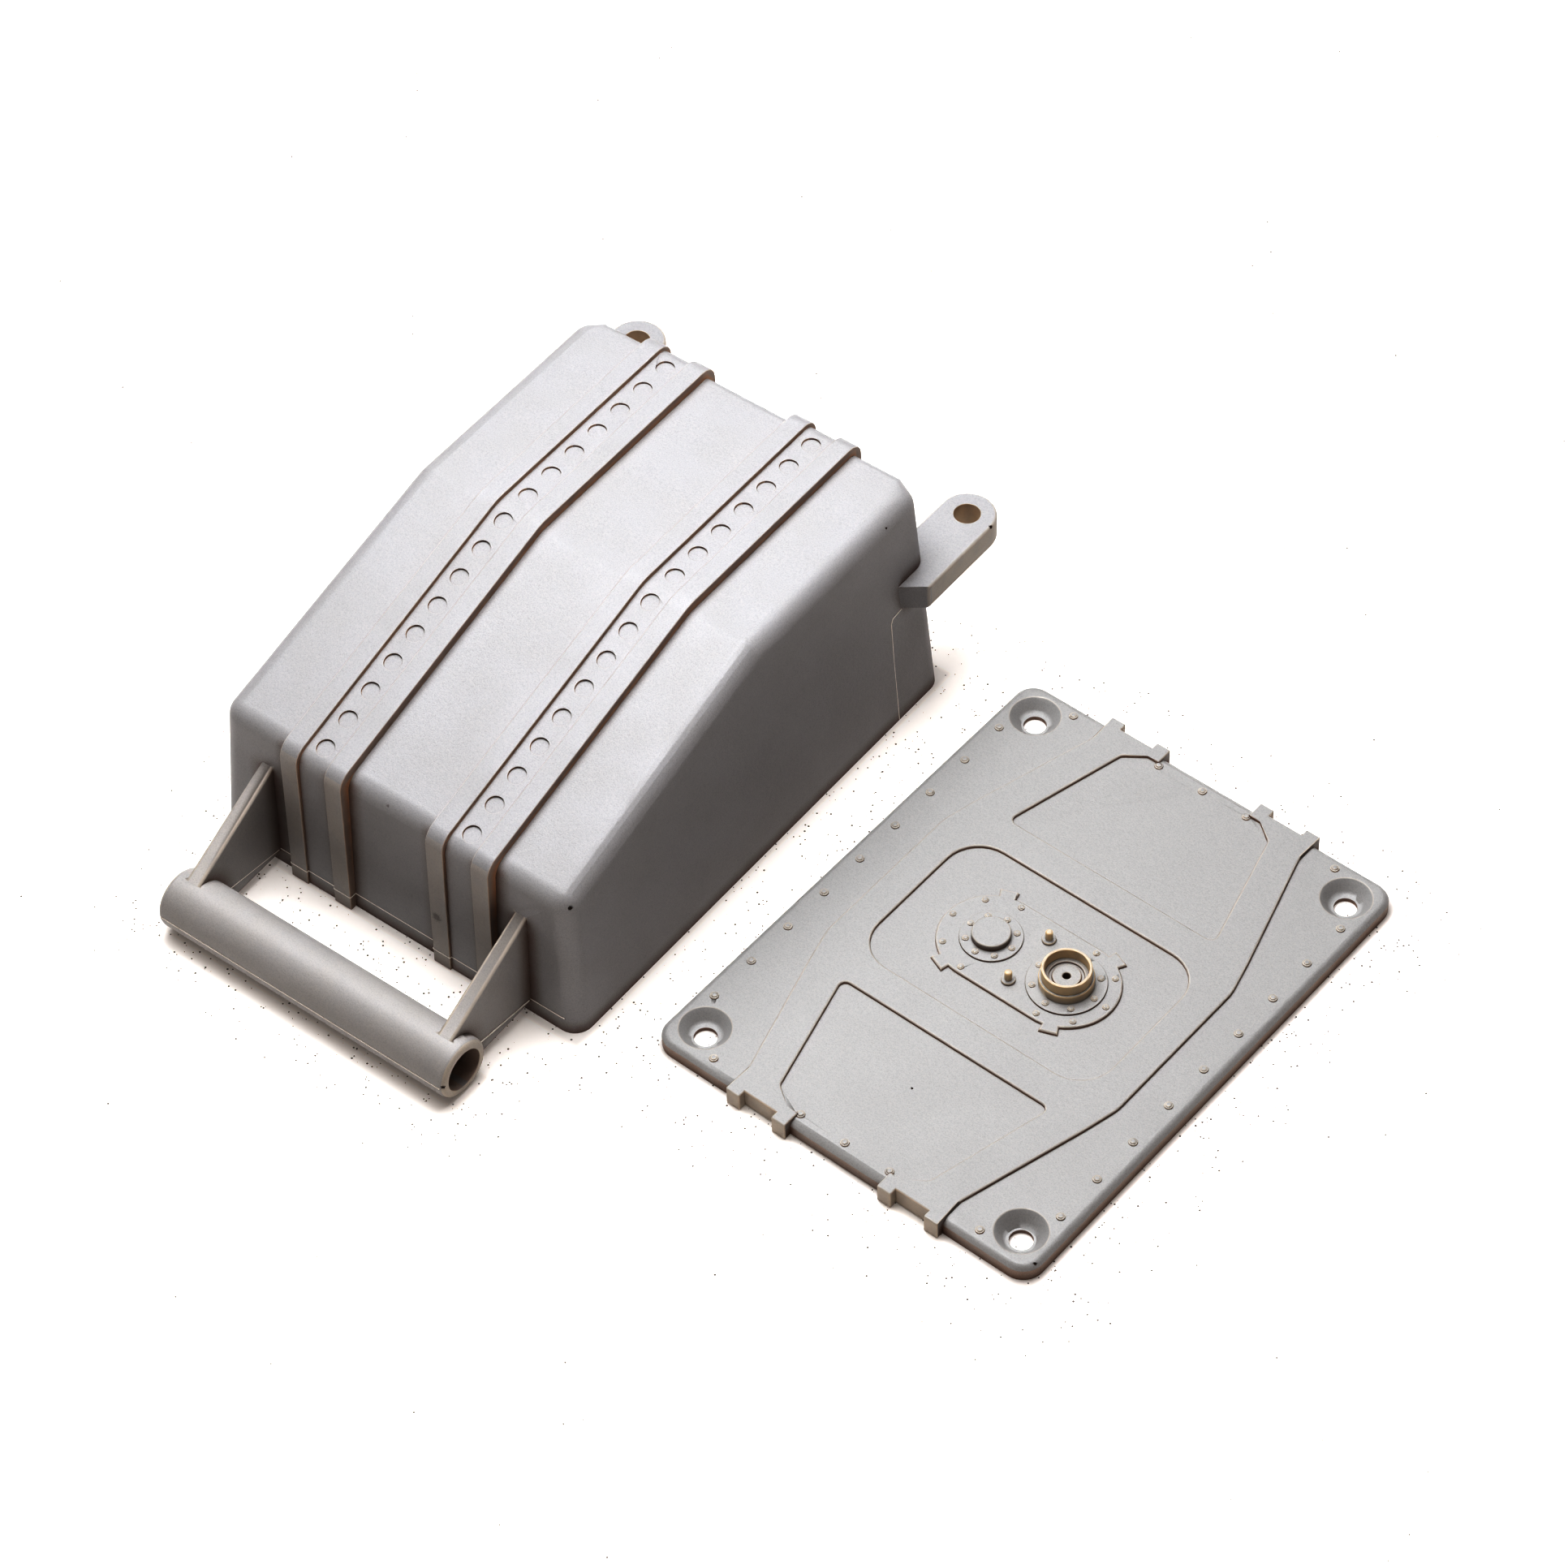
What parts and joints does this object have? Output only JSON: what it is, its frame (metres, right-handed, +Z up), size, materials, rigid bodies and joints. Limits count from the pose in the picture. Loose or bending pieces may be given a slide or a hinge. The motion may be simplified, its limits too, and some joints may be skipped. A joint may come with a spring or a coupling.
{
  "type": "fuel cell cage",
  "caption": "Moulded open box with raised straps, a front cross tube and rear lugs, lying beside the relief plate that closes its open side.",
  "frame": {"origin": "centre of the housing's rim, on the surface that both pieces rest on; the middle of its four screw bosses", "axes": "+X across the housing towards the plate, +Y towards the rear lugs, away from the cross tube, +Z up from the rim"},
  "size_m": [0.1338, 0.1095, 0.0377],
  "materials": {
    "grey_plastic": "fine spark-eroded texture, unpainted, moulded through in light grey"
  },
  "bodies": {
    "root": {"housing": "grey_plastic", "cover_plate": "grey_plastic"}
  },
  "joints": []
}
